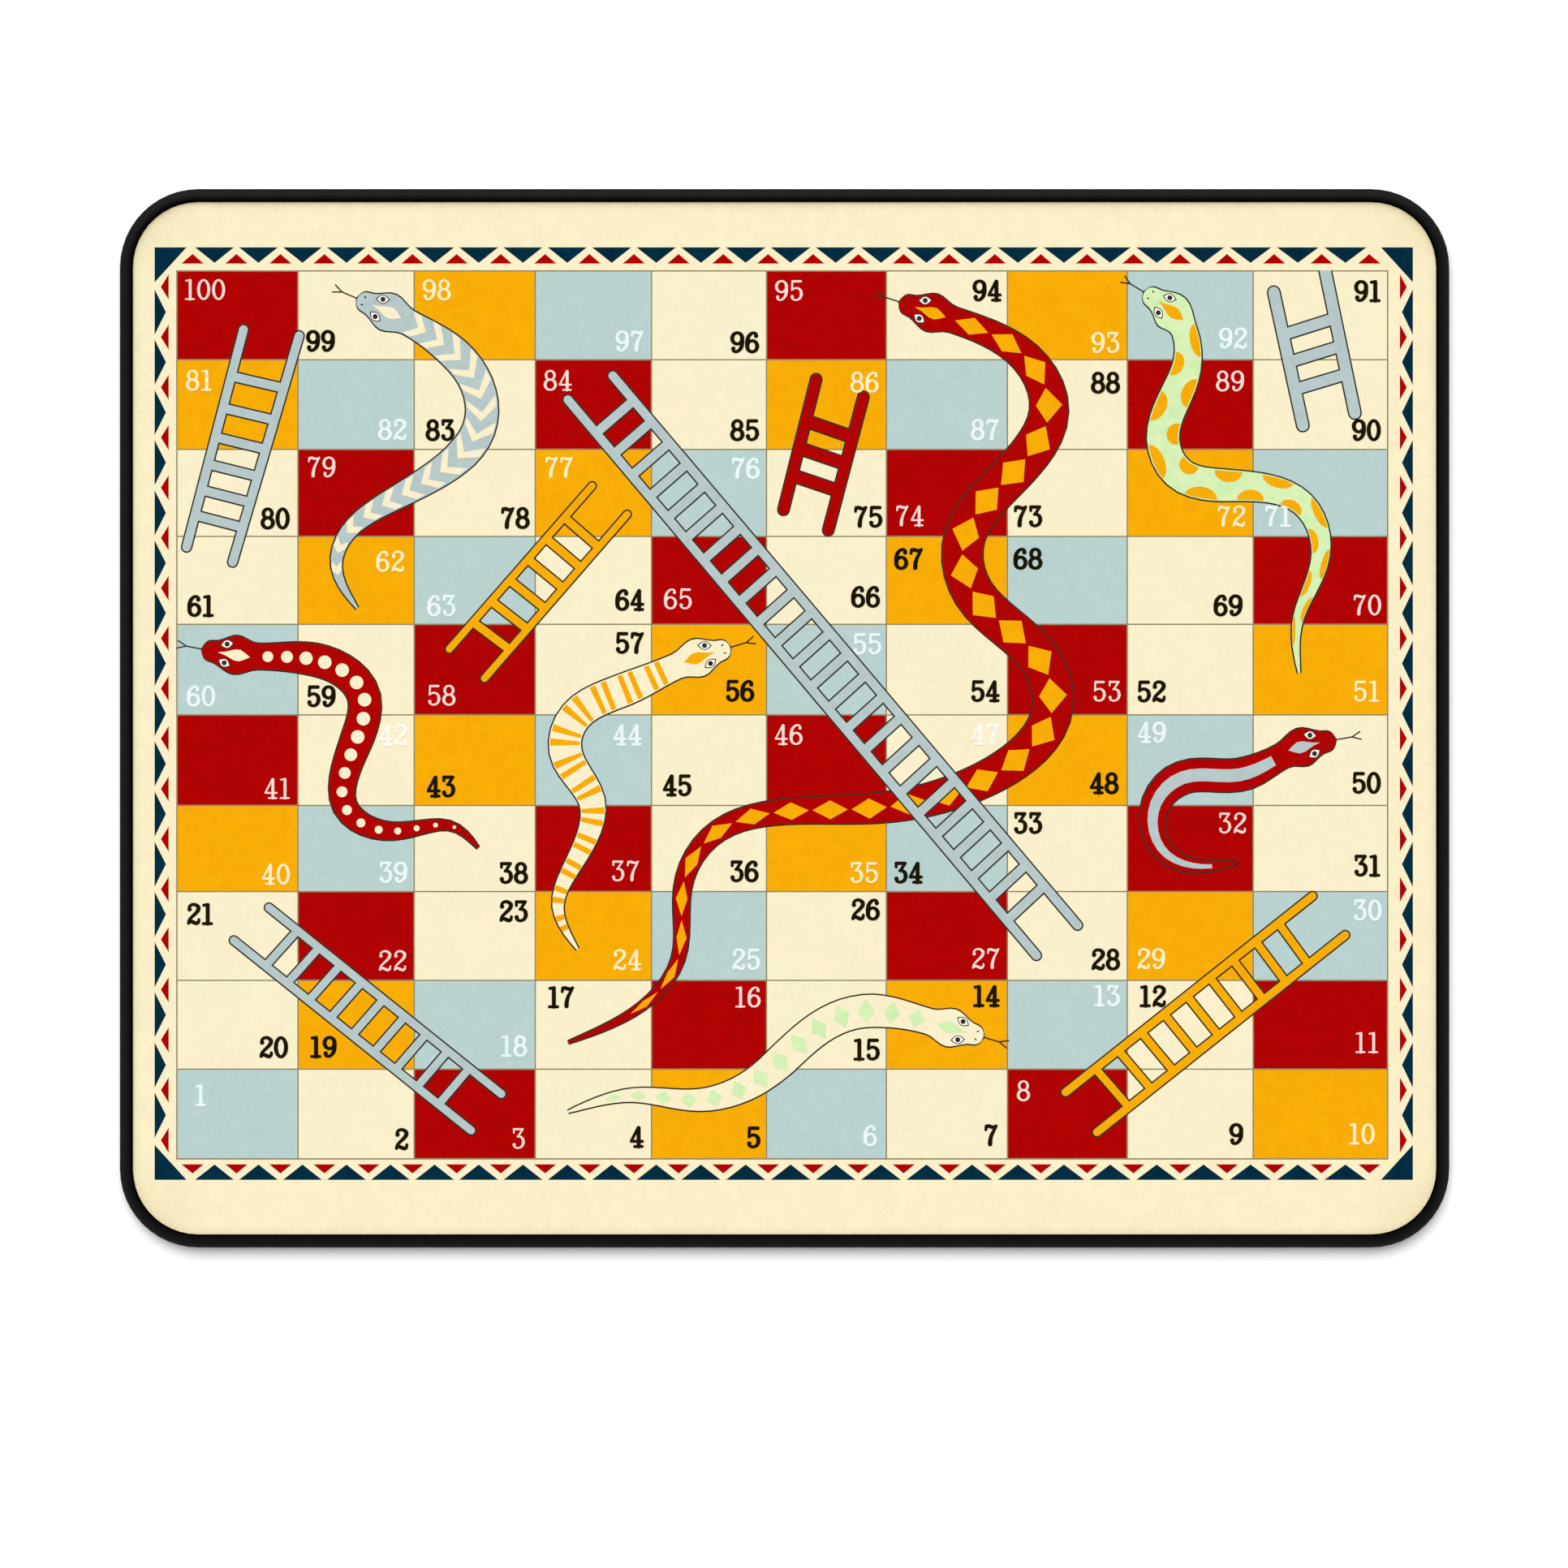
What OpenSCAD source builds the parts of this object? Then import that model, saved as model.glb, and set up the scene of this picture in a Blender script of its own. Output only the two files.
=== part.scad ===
// Snakes and ladders board: a stiff laminated sheet, printed on its face and held in a rubber edge.
// The origin is at the centre of the underside. +X runs along the board, +Y to its top, +Z is up.

/* [Board] */
// Length over the rubber edge
board_l = 400; // [320:1:520]
// Width over the rubber edge
board_w = 318.5; // [260:0.5:420]
// Radius of the outer corners
corner_r = 23.6; // [16:0.1:40]
// Thickness of the stiff core
core_t = 4; // [2:0.1:8]
// Thickness of the paper on the face
face_t = 0.4; // [0.2:0.05:1]
// Thickness of the paper on the back
back_t = 0.4; // [0.2:0.05:1]

/* [Rubber edge] */
// Width of the edge, as seen from above
edge_w = 4; // [3.5:0.1:6]
// Thickness of the lips that grip the board above and below
lip_t = 1.1; // [1:0.1:2]
// How far the board reaches into the groove
grip = 2.2; // [1.5:0.1:2.6]
// Clearance between the rim of the board and the floor of the groove
grip_gap = 0.2; // [0.1:0.05:0.4]
// Radius of the rounded crown, on the outer side
crown_r = 2.8; // [1.5:0.1:3.2]
// Radius of the lower outer corner
sole_r = 1.2; // [0.4:0.1:1.6]
// Radius of the inner corners of both lips
lip_round_r = 0.9; // [0.3:0.1:0.95]

/* [Printed border] */
// Plain margin to the left of the border
margin_left = 10.5; // [7:0.1:16]
// Plain margin to the right of the border
margin_right = 11; // [7:0.1:16]
// Plain margin above the border
margin_top = 17.6; // [10:0.1:26]
// Plain margin below the border
margin_bottom = 20.4; // [10:0.1:30]
// Width of the border's left side
band_left = 6.7; // [5:0.1:10]
// Width of the border's right side
band_right = 7.6; // [5:0.1:10]
// Width of the border's top side
band_top = 7.1; // [5:0.1:10]
// Width of the border's bottom side
band_bottom = 6.3; // [5:0.1:10]
// Number of large triangles along the top
triangles_long = 26; // [16:1:36]
// Number of large triangles up one side
triangles_short = 17; // [10:1:26]
// Distance from a left corner to the first small triangle along the top
corner_step_x = 11.4; // [10:0.1:16]
// Distance from the last small triangle along the top to a right corner
end_step_x = 13.1; // [10:0.1:16]
// Distance from a corner to the first small triangle up a side
corner_step_y = 11.9; // [10:0.1:16]

/* [Printed figures] */
// Thickness of one layer of ink
ink_t = 0.05; // [0.03:0.01:0.1]
// Width of the grid lines
grid_line_w = 0.4; // [0.2:0.05:0.8]
// Width of the dark outline round each figure
outline_w = 0.45; // [0.2:0.05:0.6]
// Width of an ordinary ladder's rails, inside their outline
rail_w = 2.6; // [1.8:0.1:3.4]
// Width of an ordinary ladder's rungs, inside their outline
rung_w = 2.6; // [1.8:0.1:3.4]
// Length of a snake's head
head_l = 17; // [14:0.5:20]
// Width of a snake's head
head_w = 11.4; // [9:0.2:13]
// Width of a small snake's body
small_body_w = 9.6; // [7:0.2:11]
// Width of the long snake's body
long_body_w = 12; // [9:0.2:14]
// Width at the tip of a tail
tail_w = 0.6; // [0.4:0.1:1.2]
// Radius of an eye
eye_r = 0.75; // [0.5:0.05:1]
// Length of a tongue, from the snout to its fork
tongue_l = 5; // [3:0.5:7]
// Length of each tip of a tongue
fork_l = 3; // [2:0.5:4]
// Width of a tongue
tongue_w = 0.4; // [0.3:0.05:0.6]

/* [Hidden] */
$fn = 48;
// Overrun of every cutting shape past the face that it cuts
over = 0.5;

// Heights of the layers, from the underside up
back_z = lip_t;
core_z = back_z + back_t;
face_z = core_z + core_t;
print_z = face_z + face_t;
edge_h = print_z + lip_t;
outline_z = print_z + ink_t;
fill_z = outline_z + ink_t;
marking_z = fill_z + ink_t;

// The sides of the board that each corner lies at, in the order of its quarter turns
corner_sides = [[1, 1], [-1, 1], [-1, -1], [1, -1]];

// The board ends inside the groove of the rubber edge
board_inset = edge_w - grip;
groove_inset = board_inset - grip_gap;

// The border's outer rectangle and the playing grid inside it
border_x0 = margin_left - board_l / 2;
border_x1 = board_l / 2 - margin_right;
border_y0 = margin_bottom - board_w / 2;
border_y1 = board_w / 2 - margin_top;
grid_x0 = border_x0 + band_left;
grid_y0 = border_y0 + band_bottom;
grid_l = border_x1 - band_right - grid_x0;
grid_w = border_y1 - band_top - grid_y0;

// Colours of the squares, which repeat along a row and step two squares back with each row down
colour_cycle = ["red", "cream", "amber", "blue", "cream"];
colour_step = 2;
// Places of the grid lines, left to right and bottom to top, drawn by hand and a little uneven
column_shares = [0, 0.1, 0.196, 0.296, 0.392, 0.487, 0.586, 0.686, 0.785, 0.889, 1];
row_shares = [0, 0.101, 0.201, 0.301, 0.398, 0.5, 0.602, 0.701, 0.799, 0.9, 1];
columns = len(column_shares) - 1;
rows = len(row_shares) - 1;

// How far the triangles reach into each side of the border, as shares of its width: the tips of the
// large ones, and the tips and the bases of the small ones
top_depth_shares = [0.655, 0.28, 0.685];
bottom_depth_shares = [0.73, 0.305, 0.74];
left_depth_shares = [0.505, 0.28, 0.63];
right_depth_shares = [0.43, 0.24, 0.515];
// Widths of the large and of the small triangles, as shares of their spacing
long_width_shares = [0.88, 0.49];
short_width_shares = [0.9, 0.5];
// How much closer together the triangles of a long side stand towards its left
border_drift_share = 0.029;
// Legs of the corner triangles, as shares of the steps from a corner
corner_leg_x_share = 0.84;
corner_leg_y_share = 0.88;

// Ladders: the foot and top of the left rail and of the right rail, in shares of the grid from its
// lower left corner, the number of rungs, the places of the first and last rung along the left
// rail and along the right rail, how much closer together the first rungs stand, and the widths of
// the rails and rungs as shares of an ordinary ladder's
ladder_to_100_shares = [
    [0.008, 0.689], [0.055, 0.934], [0.046, 0.672], [0.101, 0.927],
    6, [0.147, 0.786], [0.153, 0.768], 0.1, 1, 1.02
];
ladder_to_91_shares = [
    [0.93, 0.826], [0.906, 0.976], [0.973, 0.84], [0.948, 1.003],
    3, [0.27, 0.681], [0.27, 0.655], 0, 1.29, 1.25
];
ladder_to_86_shares = [
    [0.501, 0.731], [0.528, 0.878], [0.538, 0.708], [0.567, 0.858],
    3, [0.265, 0.682], [0.295, 0.699], 0, 1.17, 1.33
];
ladder_to_84_shares = [
    [0.71, 0.229], [0.323, 0.855], [0.744, 0.263], [0.36, 0.882],
    24, [0.063, 0.94], [0.072, 0.955], 0, 1, 1.04
];
ladder_to_77_shares = [
    [0.225, 0.574], [0.343, 0.758], [0.254, 0.541], [0.372, 0.726],
    6, [0.166, 0.806], [0.176, 0.799], 0, 0.79, 0.94
];
ladder_to_30_shares = [
    [0.734, 0.075], [0.938, 0.296], [0.76, 0.03], [0.965, 0.252],
    9, [0.121, 0.862], [0.128, 0.852], 0, 0.9, 0.88
];
ladder_to_21_shares = [
    [0.243, 0.032], [0.047, 0.246], [0.268, 0.073], [0.076, 0.283],
    9, [0.137, 0.866], [0.138, 0.877], 0, 0.9, 0.88
];

// Routes of the snakes, in shares of the grid, from the snout to the tip of the tail
route_99_shares = [
    [0.149, 0.969], [0.192, 0.944], [0.249, 0.894], [0.259, 0.812],
    [0.202, 0.757], [0.142, 0.72], [0.125, 0.665], [0.149, 0.62]
];
route_94_shares = [
    [0.597, 0.965], [0.637, 0.947], [0.702, 0.917], [0.732, 0.839], [0.692, 0.771], [0.642, 0.711],
    [0.652, 0.624], [0.719, 0.574], [0.732, 0.487], [0.672, 0.423], [0.591, 0.391], [0.514, 0.395],
    [0.444, 0.382], [0.41, 0.309], [0.424, 0.227], [0.384, 0.163], [0.323, 0.131]
];
route_92_shares = [
    [0.799, 0.976], [0.834, 0.947], [0.839, 0.885], [0.806, 0.821], [0.826, 0.757],
    [0.88, 0.76], [0.935, 0.75], [0.953, 0.675], [0.92, 0.611], [0.927, 0.547]
];
route_60_shares = [
    [0.021, 0.574], [0.062, 0.563], [0.122, 0.569], [0.166, 0.524], [0.142, 0.455],
    [0.129, 0.391], [0.176, 0.359], [0.226, 0.387], [0.249, 0.35]
];
route_56_shares = [
    [0.457, 0.576], [0.418, 0.56], [0.373, 0.528], [0.327, 0.51], [0.313, 0.451],
    [0.353, 0.405], [0.333, 0.341], [0.306, 0.286], [0.331, 0.236]
];
route_50_shares = [
    [0.957, 0.472], [0.919, 0.463], [0.88, 0.423], [0.833, 0.441],
    [0.801, 0.4], [0.809, 0.341], [0.846, 0.325], [0.878, 0.335]
];
route_14_shares = [
    [0.666, 0.137], [0.628, 0.152], [0.568, 0.176], [0.521, 0.144],
    [0.484, 0.085], [0.43, 0.058], [0.377, 0.08], [0.323, 0.053]
];

// Angle between the corners of a rounded end or of a saddle marking
round_step_angle = 22.5;

// Shape of a head, as shares of its length and of its width: how far back the snout is rounded,
// how wide it is there, where the jaw is widest, and how wide the neck is
snout_round_share = 0.16;
snout_wide_share = 0.52;
jaw_place_share = 0.6;
neck_wide_share = 0.66;
head_station_shares = [0.015, 0.05, 0.1, 0.16, 0.24, 0.33, 0.42, 0.51, 0.6, 0.7, 0.8, 0.9, 1];
// Place of the eyes, back from the snout and out from the middle
eye_back_share = 0.42;
eye_out_share = 0.5;
// Angle between each tip of a tongue and its middle line
fork_angle = 24;
// Share of the body's length over which the neck widens, where the tail starts to taper, and how
// full the taper is
swell_share = 0.16;
taper_share = 0.42;
taper_power = 0.8;
// Spacing of the points along a body, as a share of its width
body_step_share = 0.3;
// Length over which a body's heading is measured, as a share of its whole length
heading_step_share = 0.01;
// Points of a route's curve between two of its given points
route_steps = 12;

// Markings, as shares of the body's width: their spacing, and their sizes within it
chevron_pitch_share = 0.7;
chevron_thick_share = 0.28;
lozenge_pitch_share = 0.98;
lozenge_long_share = 0.9;
lozenge_wide_share = 0.7;
saddle_pitch_share = 0.75;
saddle_long_share = 0.45;
saddle_deep_share = 0.72;
dot_pitch_share = 0.6;
dot_wide_share = 0.42;
ring_pitch_share = 0.9;
ring_thick_share = 0.17;
stripe_wide_share = 0.4;
patch_pitch_share = 0.8;
patch_long_share = 0.66;
patch_wide_share = 0.78;
// How far along a body its markings reach, and how far out to its sides
marking_reach_share = 0.94;
marking_side_share = 0.93;

// Inks
keyline_ink = [0.2, 0.19, 0.15];
cream_ink = [0.985, 0.945, 0.8];
red_ink = [0.69, 0.01, 0.01];
amber_ink = [0.98, 0.685, 0.02];
blue_ink = [0.735, 0.83, 0.815];
navy_ink = [0.015, 0.165, 0.245];
steel_ink = [0.72, 0.795, 0.82];
green_ink = [0.81, 0.94, 0.69];

// Ways along

function between(a, b, t) = a + (b - a) * t;

// A way from 0 to 1 whose steps grow wider towards its end
function uneven(t, drift_share) = t - drift_share * t * (1 - pow(t, 2));

// Flat shapes

module corner_round(r) {
    difference() {
        translate([-over, -over])
            square(r + over);
        translate([r, r])
            circle(r);
    }
}

module rounded_rectangle(l, w, r) {
    difference() {
        square([l, w], center = true);
        for (side_x = [-1, 1], side_y = [-1, 1])
            scale([side_x, side_y])
                translate([-l / 2, -w / 2])
                    corner_round(r);
    }
}

// Section of the rubber edge: x is the distance from the centre of a corner's curve
module edge_section() {
    difference() {
        translate([corner_r - edge_w, 0])
            square([edge_w, edge_h]);
        translate([corner_r, 0])
            mirror([1, 0])
                corner_round(sole_r);
        translate([corner_r, edge_h])
            rotate(180)
                corner_round(crown_r);
        translate([corner_r - edge_w, 0])
            corner_round(lip_round_r);
        translate([corner_r - edge_w, edge_h])
            mirror([0, 1])
                corner_round(lip_round_r);
        translate([corner_r - edge_w - over, back_z])
            square([grip + grip_gap + over, print_z - back_z]);
    }
}

// Board and edge

module edge_rim() {
    straight_l = board_l - 2 * corner_r;
    straight_w = board_w - 2 * corner_r;
    color([0.1, 0.1, 0.1])
        for (quarter = [0 : len(corner_sides) - 1]) {
            side = corner_sides[quarter];
            translate([side[0] * straight_l / 2, side[1] * straight_w / 2])
                rotate(90 * quarter) {
                    rotate_extrude(angle = 90)
                        edge_section();
                    rotate([90, 0, 0])
                        linear_extrude(quarter % 2 == 0 ? straight_w : straight_l)
                            edge_section();
                }
        }
}

module board_layer(z, t) {
    translate([0, 0, z])
        linear_extrude(t)
            rounded_rectangle(
                board_l - 2 * board_inset,
                board_w - 2 * board_inset,
                corner_r - board_inset
            );
}

module core_board() {
    color([0.5, 0.48, 0.45])
        board_layer(core_z, core_t);
}

module face_sheet() {
    color([0.98, 0.93, 0.79])
        board_layer(face_z, face_t);
}

module back_sheet() {
    color([0.16, 0.16, 0.17])
        board_layer(back_z, back_t);
}

// Grid and squares

module ink(z) {
    translate([0, 0, z])
        linear_extrude(ink_t)
            children();
}

module grid_rectangle(grow) {
    translate([grid_x0 - grow, grid_y0 - grow])
        square([grid_l + 2 * grow, grid_w + 2 * grow]);
}

module cell(column, row) {
    x0 = grid_x0 + grid_l * column_shares[column] + grid_line_w / 2;
    x1 = grid_x0 + grid_l * column_shares[column + 1] - grid_line_w / 2;
    y0 = grid_y0 + grid_w * row_shares[row] + grid_line_w / 2;
    y1 = grid_y0 + grid_w * row_shares[row + 1] - grid_line_w / 2;
    translate([x0, y0])
        square([x1 - x0, y1 - y0]);
}

module squares(name) {
    ink(print_z)
        for (row = [0 : rows - 1], column = [0 : columns - 1])
            if (colour_cycle[(column + colour_step * (rows - 1 - row)) % len(colour_cycle)] == name)
                cell(column, row);
}

module grid_lines() {
    color([0.6, 0.57, 0.43])
        ink(print_z)
            difference() {
                grid_rectangle(grid_line_w / 2);
                for (row = [0 : rows - 1], column = [0 : columns - 1])
                    cell(column, row);
            }
}

module cream_squares() {
    color(cream_ink)
        squares("cream");
}

module red_squares() {
    color(red_ink)
        squares("red");
}

module amber_squares() {
    color(amber_ink)
        squares("amber");
}

module blue_squares() {
    color(blue_ink)
        squares("blue");
}

// Border of triangles

// A triangle on a side of the border: along runs on the side, depth runs in from the outer line
module side_triangle(along, width, base_depth, tip_depth) {
    polygon([
        [along - width / 2, base_depth],
        [along, tip_depth],
        [along + width / 2, base_depth]
    ]);
}

// One side of the border, drawn from the origin along +X with its depth along +Y
module large_triangles(length, start, end, count, drift_share, width_share, depth) {
    for (i = [0 : count - 1]) {
        from = between(start, length - end, uneven(i / count, drift_share));
        to = between(start, length - end, uneven((i + 1) / count, drift_share));
        side_triangle((from + to) / 2, (to - from) * width_share, 0, depth);
    }
}

module small_triangles(length, start, end, count, drift_share, width_share, base_depth, tip_depth) {
    width = (length - start - end) / count * width_share;
    for (i = [0 : count])
        side_triangle(
            between(start, length - end, uneven(i / count, drift_share)),
            width, base_depth, tip_depth
        );
}

module long_large_triangles(depth) {
    large_triangles(
        border_x1 - border_x0, corner_step_x, end_step_x, triangles_long,
        border_drift_share, long_width_shares[0], depth
    );
}

module long_small_triangles(band, shares) {
    small_triangles(
        border_x1 - border_x0, corner_step_x, end_step_x, triangles_long,
        border_drift_share, long_width_shares[1], band * shares[2], band * shares[1]
    );
}

module short_large_triangles(depth) {
    large_triangles(
        border_y1 - border_y0, corner_step_y, corner_step_y, triangles_short,
        0, short_width_shares[0], depth
    );
}

module short_small_triangles(band, shares) {
    small_triangles(
        border_y1 - border_y0, corner_step_y, corner_step_y, triangles_short,
        0, short_width_shares[1], band * shares[2], band * shares[1]
    );
}

module border_navy() {
    leg_x = corner_step_x * corner_leg_x_share;
    leg_y = corner_step_y * corner_leg_y_share;
    color(navy_ink)
        ink(print_z) {
            translate([border_x0, border_y0])
                long_large_triangles(band_bottom * bottom_depth_shares[0]);
            translate([border_x0, border_y1])
                mirror([0, 1])
                    long_large_triangles(band_top * top_depth_shares[0]);
            translate([border_x1, border_y0])
                rotate(90)
                    short_large_triangles(band_right * right_depth_shares[0]);
            translate([border_x0, border_y1])
                rotate(-90)
                    short_large_triangles(band_left * left_depth_shares[0]);
            for (side_x = [0, 1], side_y = [0, 1])
                translate([side_x == 0 ? border_x0 : border_x1, side_y == 0 ? border_y0 : border_y1])
                    scale([1 - 2 * side_x, 1 - 2 * side_y])
                        polygon([[0, 0], [leg_x, 0], [0, leg_y]]);
        }
}

module border_red() {
    color(red_ink)
        ink(print_z) {
            translate([border_x0, border_y0])
                long_small_triangles(band_bottom, bottom_depth_shares);
            translate([border_x0, border_y1])
                mirror([0, 1])
                    long_small_triangles(band_top, top_depth_shares);
            translate([border_x1, border_y0])
                rotate(90)
                    short_small_triangles(band_right, right_depth_shares);
            translate([border_x0, border_y1])
                rotate(-90)
                    short_small_triangles(band_left, left_depth_shares);
        }
}

// Ladders

function on_grid(share) = [grid_x0 + grid_l * share[0], grid_y0 + grid_w * share[1]];

function unit(v) = v / norm(v);

function left_of(v) = [-v[1], v[0]];

module bar(a, b, w) {
    side = left_of(unit(b - a)) * w / 2;
    polygon([a + side, a - side, b - side, b + side]);
}

// A straight strip with rounded ends
module rail(a, b, w) {
    ahead = unit(b - a) * w / 2;
    side = left_of(ahead);
    turns = [0 : round_step_angle : 180];
    polygon(concat(
        [for (turn = turns) b + ahead * sin(turn) - side * cos(turn)],
        [for (turn = turns) a - ahead * sin(turn) + side * cos(turn)]
    ));
}

module ladder(table_shares, grow) {
    left_foot = on_grid(table_shares[0]);
    left_top = on_grid(table_shares[1]);
    right_foot = on_grid(table_shares[2]);
    right_top = on_grid(table_shares[3]);
    count = table_shares[4];
    left_shares = table_shares[5];
    right_shares = table_shares[6];
    drift_share = table_shares[7];
    wide_rail = rail_w * table_shares[8] + 2 * grow;
    wide_rung = rung_w * table_shares[9] + 2 * grow;
    intersection() {
        grid_rectangle(grid_line_w / 2);
        union() {
            rail(left_foot, left_top, wide_rail);
            rail(right_foot, right_top, wide_rail);
            for (i = [0 : count - 1]) {
                step = uneven(i / (count - 1), drift_share);
                bar(
                    between(left_foot, left_top, between(left_shares[0], left_shares[1], step)),
                    between(right_foot, right_top, between(right_shares[0], right_shares[1], step)),
                    wide_rung
                );
            }
        }
    }
}

module ladder_print(table_shares) {
    ink(fill_z)
        ladder(table_shares, 0);
}

module ladder_to_100() {
    color(steel_ink)
        ladder_print(ladder_to_100_shares);
}

module ladder_to_91() {
    color(steel_ink)
        ladder_print(ladder_to_91_shares);
}

module ladder_to_86() {
    color(red_ink)
        ladder_print(ladder_to_86_shares);
}

module ladder_to_84() {
    color(steel_ink)
        ladder_print(ladder_to_84_shares);
}

module ladder_to_77() {
    color(amber_ink)
        ladder_print(ladder_to_77_shares);
}

module ladder_to_30() {
    color(amber_ink)
        ladder_print(ladder_to_30_shares);
}

module ladder_to_21() {
    color(steel_ink)
        ladder_print(ladder_to_21_shares);
}

// Snakes: a smooth curve along each route, with a width that changes along it

// A point of a cubic spline that is drawn towards the points of its route
function spline(a, b, c, d, t) =
    (a * pow(1 - t, 3) + b * (3 * pow(t, 3) - 6 * pow(t, 2) + 4)
        + c * (3 * (t + pow(t, 2) - pow(t, 3)) + 1) + d * pow(t, 3)) / 6;

// The route with one more point past each end, so that the curve starts and stops on its ends
function lengthened(p) =
    let (last = len(p) - 1)
    concat([2 * p[0] - p[1]], p, [2 * p[last] - p[last - 1]]);

function smooth_path(p) =
    let (q = lengthened(p))
    concat(
        [for (i = [0 : len(p) - 2], k = [0 : route_steps - 1])
            spline(q[i], q[i + 1], q[i + 2], q[i + 3], k / route_steps)],
        [p[len(p) - 1]]
    );

function running_lengths(path, i = 0, so_far = 0) =
    i == len(path) - 1
        ? [so_far]
        : concat([so_far], running_lengths(path, i + 1, so_far + norm(path[i + 1] - path[i])));

// A curve is its length, and tables of x and y against the distance from the snout
function curve(route_shares) =
    let (path = smooth_path([for (share = route_shares) on_grid(share)]))
    let (lengths = running_lengths(path))
    [
        lengths[len(lengths) - 1],
        [for (i = [0 : len(path) - 1]) [lengths[i], path[i][0]]],
        [for (i = [0 : len(path) - 1]) [lengths[i], path[i][1]]]
    ];

function point_at(c, s) = [lookup(s, c[1]), lookup(s, c[2])];

function heading_at(c, s) =
    let (step = c[0] * heading_step_share)
    unit(point_at(c, min(s + step, c[0])) - point_at(c, max(s - step, 0)));

// The point that lies so far along the snake and so far to its left
function along(c, s, q) = point_at(c, s) + left_of(heading_at(c, s)) * q;

function ease(t) = (1 - cos(180 * min(max(t, 0), 1))) / 2;

// Half the width of a head, as a share of its half width, so far back from the snout
function head_outline(back) =
    back < snout_round_share
        ? snout_wide_share * sqrt(1 - pow(1 - back / snout_round_share, 2))
        : back < jaw_place_share
            ? snout_wide_share + (1 - snout_wide_share)
                * ease((back - snout_round_share) / (jaw_place_share - snout_round_share))
            : 1 - (1 - neck_wide_share) * ease((back - jaw_place_share) / (1 - jaw_place_share));

// Half the width of a snake at a distance from its snout
function half_width(c, body_w, s) =
    let (part = (s - head_l) / (c[0] - head_l))
    let (neck_w = head_w * neck_wide_share)
    s < head_l
        ? head_w / 2 * head_outline(s / head_l)
        : part < swell_share
            ? (neck_w + (body_w - neck_w) * ease(part / swell_share)) / 2
            : part < taper_share
                ? body_w / 2
                : (tail_w + (body_w - tail_w) * pow(max(1 - part, 0) / (1 - taper_share), taper_power)) / 2;

// Distances from the snout at which a body's outline has its points
function stations(c, body_w) =
    let (count = ceil((c[0] - head_l) / (body_w * body_step_share)))
    concat(
        head_station_shares * head_l,
        [for (i = [1 : count]) head_l + (c[0] - head_l) * i / count]
    );

module snake_shape(route_shares, body_w, grow) {
    c = curve(route_shares);
    places = stations(c, body_w);
    polygon(concat(
        [point_at(c, 0) - heading_at(c, 0) * grow],
        [for (s = places) along(c, s, -half_width(c, body_w, s) - grow)],
        [for (i = [len(places) - 1 : -1 : 0])
            along(c, places[i], half_width(c, body_w, places[i]) + grow)]
    ));
}

// The body is left bare where the long ladder crosses it
module snake_print(route_shares, body_w) {
    ink(fill_z)
        difference() {
            snake_shape(route_shares, body_w, 0);
            ladder(ladder_to_84_shares, outline_w);
        }
}

module tongue(route_shares) {
    c = curve(route_shares);
    snout = point_at(c, 0);
    ahead = -heading_at(c, 0);
    fork = snout + ahead * tongue_l;
    bar(snout, fork, tongue_w);
    translate(fork)
        circle(d = tongue_w);
    for (turn = [-fork_angle, fork_angle]) {
        way = ahead * cos(turn) + left_of(ahead) * sin(turn);
        bar(fork, fork + way * fork_l, tongue_w);
    }
}

module eyes(route_shares) {
    c = curve(route_shares);
    for (side = [-1, 1])
        translate(along(c, head_l * eye_back_share, side * head_w / 2 * eye_out_share))
            circle(eye_r);
}

// Places of the markings along a body, from behind the head to the tail
function marking_places(c, pitch) =
    let (first = head_l + pitch / 2)
    [for (i = [0 : floor((c[0] * marking_reach_share - first) / pitch)]) first + pitch * i];

module lozenges(route_shares, body_w, pitch, wide_share, long_share) {
    c = curve(route_shares);
    for (s = marking_places(c, pitch)) {
        wide = half_width(c, body_w, s) * wide_share;
        long = pitch * long_share / 2;
        polygon([along(c, s - long, 0), along(c, s, -wide), along(c, s + long, 0), along(c, s, wide)]);
    }
}

module dots(route_shares, body_w, pitch) {
    c = curve(route_shares);
    for (s = marking_places(c, pitch))
        translate(point_at(c, s))
            circle(half_width(c, body_w, s) * dot_wide_share);
}

module chevrons(route_shares, body_w, pitch, thick) {
    c = curve(route_shares);
    for (s = marking_places(c, pitch)) {
        h = half_width(c, body_w, s) * marking_side_share;
        polygon([
            along(c, s - h, h), along(c, s, 0), along(c, s - h, -h),
            along(c, s - h + thick, -h), along(c, s + thick, 0), along(c, s - h + thick, h)
        ]);
    }
}

// Half ovals along both sides of a body by turns
module saddles(route_shares, body_w, pitch) {
    c = curve(route_shares);
    places = marking_places(c, pitch);
    for (i = [0 : len(places) - 1]) {
        side = i % 2 == 0 ? 1 : -1;
        long = body_w * saddle_long_share;
        deep = half_width(c, body_w, places[i]) * saddle_deep_share;
        turns = [0 : round_step_angle : 180];
        polygon(concat(
            [for (turn = turns)
                let (s = places[i] + long * cos(turn))
                along(c, s, side * (half_width(c, body_w, s) * marking_side_share - deep * sin(turn)))],
            [for (turn = turns)
                let (s = places[i] - long * cos(turn))
                along(c, s, side * half_width(c, body_w, s) * marking_side_share)]
        ));
    }
}

// Pairs of narrow bands across a body
module rings(route_shares, body_w, pitch, thick) {
    c = curve(route_shares);
    for (s = marking_places(c, pitch), pair = [0, 1]) {
        near = s + 2 * thick * pair;
        far = near + thick;
        wide = half_width(c, body_w, near) * marking_side_share;
        polygon([
            along(c, near, wide), along(c, near, -wide), along(c, far, -wide), along(c, far, wide)
        ]);
    }
}

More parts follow.
